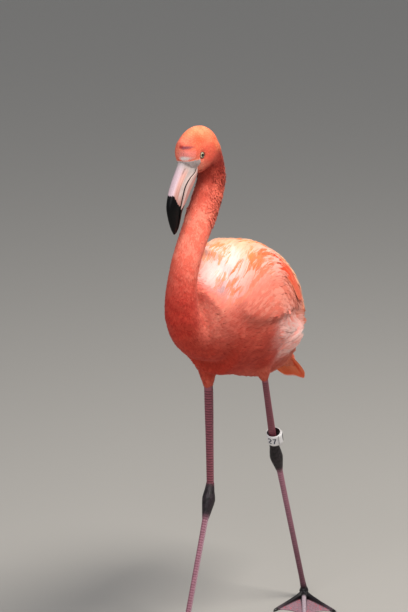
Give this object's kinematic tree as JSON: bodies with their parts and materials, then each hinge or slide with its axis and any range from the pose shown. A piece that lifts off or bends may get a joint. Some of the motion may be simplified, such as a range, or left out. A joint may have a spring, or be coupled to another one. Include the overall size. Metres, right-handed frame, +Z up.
{
  "type": "flamingo",
  "caption": "Life-size still model of a pink-orange flamingo in mid-step, with an S-curved neck, a downturned bill, long thin legs, webbed feet and a plain leg band.",
  "frame": {"origin": "middle of the bird's bounding box, on the floor that both feet stand on", "axes": "-Y is the way the bird walks, +X is its left side, +Z is up"},
  "size_m": [0.2448, 0.4904, 0.9552],
  "materials": {
    "plumage": "soft short feathers",
    "flight_feather": "smooth overlapping feathers",
    "leg_skin": "scaled skin",
    "joint_skin": "dark scaled skin",
    "bill": "satin horn, black at the tip",
    "claw": "dark horn",
    "eye": "wet and clear",
    "band_plastic": "smooth plastic"
  },
  "bodies": {
    "root": {"head": "plumage", "bill_upper": "bill", "bill_lower": "bill", "eye_left": "eye", "eye_right": "eye", "neck_upper": "plumage", "neck_middle": "plumage", "neck_lower": "plumage", "trunk": "plumage", "wing_left": "flight_feather", "wing_right": "flight_feather", "tail": "flight_feather", "thigh_left": "plumage", "shank_left": "leg_skin", "ankle_left": "joint_skin", "tarsus_left": "leg_skin", "foot_left": "leg_skin", "claw_inner_left": "claw", "claw_middle_left": "claw", "claw_outer_left": "claw", "thigh_right": "plumage", "shank_right": "leg_skin", "ankle_right": "joint_skin", "tarsus_right": "leg_skin", "foot_right": "leg_skin", "claw_inner_right": "claw", "claw_middle_right": "claw", "claw_outer_right": "claw", "leg_band": "band_plastic"}
  },
  "joints": []
}
